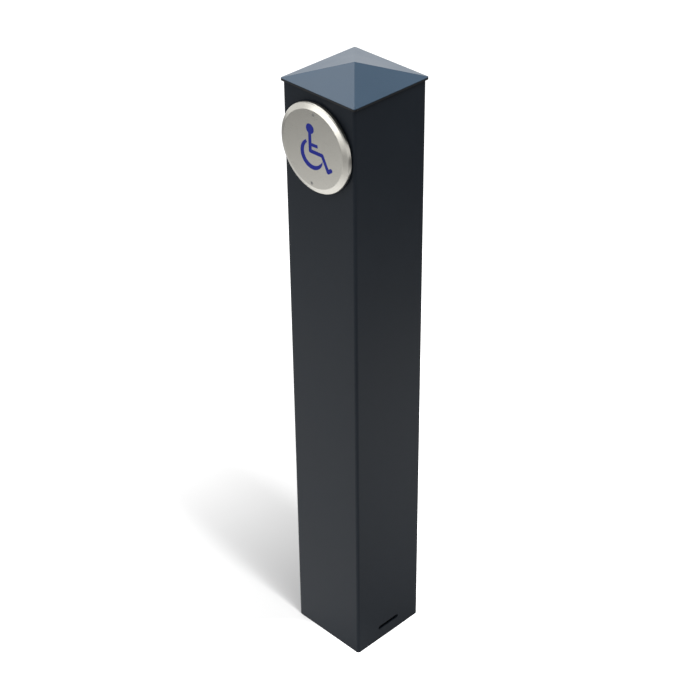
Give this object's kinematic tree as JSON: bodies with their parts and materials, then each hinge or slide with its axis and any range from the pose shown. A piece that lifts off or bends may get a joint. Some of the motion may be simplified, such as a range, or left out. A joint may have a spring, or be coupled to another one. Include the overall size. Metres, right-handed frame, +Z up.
{
  "type": "door actuator post",
  "caption": "Square post with a low pyramid cap and a round spring-loaded push plate that works a hidden snap switch, bolted down through a base in its foot.",
  "frame": {"origin": "middle of the foot, on the ground: the centre of the four anchor holes at the underside of the base", "axes": "+Z up the post, -Y out of the face with the push plate, +X out of the face with the low slot"},
  "size_m": [0.1574, 0.1679, 1.0953],
  "materials": {
    "post_coat": "satin powder coat on steel, dark grey",
    "cap_coat": "satin powder coat, blue grey, with a dark rim",
    "dark_screw": "blackened steel",
    "satin_stainless": "fine satin stainless",
    "stainless_screw": "plain stainless",
    "zinc_steel": "bright zinc plated",
    "spring_wire": "bright drawn steel",
    "foam": "closed cell foam, black",
    "switch_plastic": "black moulded plastic",
    "button_plastic": "red moulded plastic",
    "contact_brass": "tinned brass"
  },
  "bodies": {
    "post": {"post_tube": "post_coat", "post_cap": "cap_coat", "cap_screws": "dark_screw", "anchor_base": "zinc_steel", "base_screws": "dark_screw", "plate_gasket": "foam", "back_plate": "zinc_steel", "rivet_nuts": "zinc_steel", "back_plate_screws": "zinc_steel", "standoffs": "zinc_steel", "face_screws": "stainless_screw", "return_spring_upper": "spring_wire", "return_spring_lower": "spring_wire", "switch_bracket": "zinc_steel", "bracket_screws": "zinc_steel", "switch_case": "switch_plastic", "switch_cover": "switch_plastic", "lever_pin": "spring_wire", "terminal_closed": "contact_brass", "terminal_open": "contact_brass", "terminal_common": "contact_brass", "switch_screws": "zinc_steel", "switch_nuts": "zinc_steel"},
    "plate": {"push_plate": "satin_stainless", "plate_striker": "zinc_steel"},
    "lever": {"switch_lever": "spring_wire"},
    "plunger": {"switch_plunger": "button_plastic"}
  },
  "joints": [
    {"name": "plate_press", "type": "slide", "parent": "post", "child": "plate", "axis": [0, 1, 0], "range_m": [0, 0.0025], "stiffness_N_per_m": 4000, "springref_m": -0.002, "deforming": ["return_spring_upper", "return_spring_lower"]},
    {"name": "lever_swing", "type": "hinge", "parent": "post", "child": "lever", "pos_m": [0, -0.076, 0.9648], "axis": [-1, 0, 0], "range_deg": [0, 7.92]},
    {"name": "plunger_press", "type": "slide", "parent": "post", "child": "plunger", "axis": [0, 1, 0], "range_m": [0, 0.00143]}
  ],
  "couplings": [
    {"joint": "lever_swing", "follows": "plate_press", "rad_per_m": 55.202},
    {"joint": "plunger_press", "follows": "plate_press", "ratio": 0.57222}
  ]
}
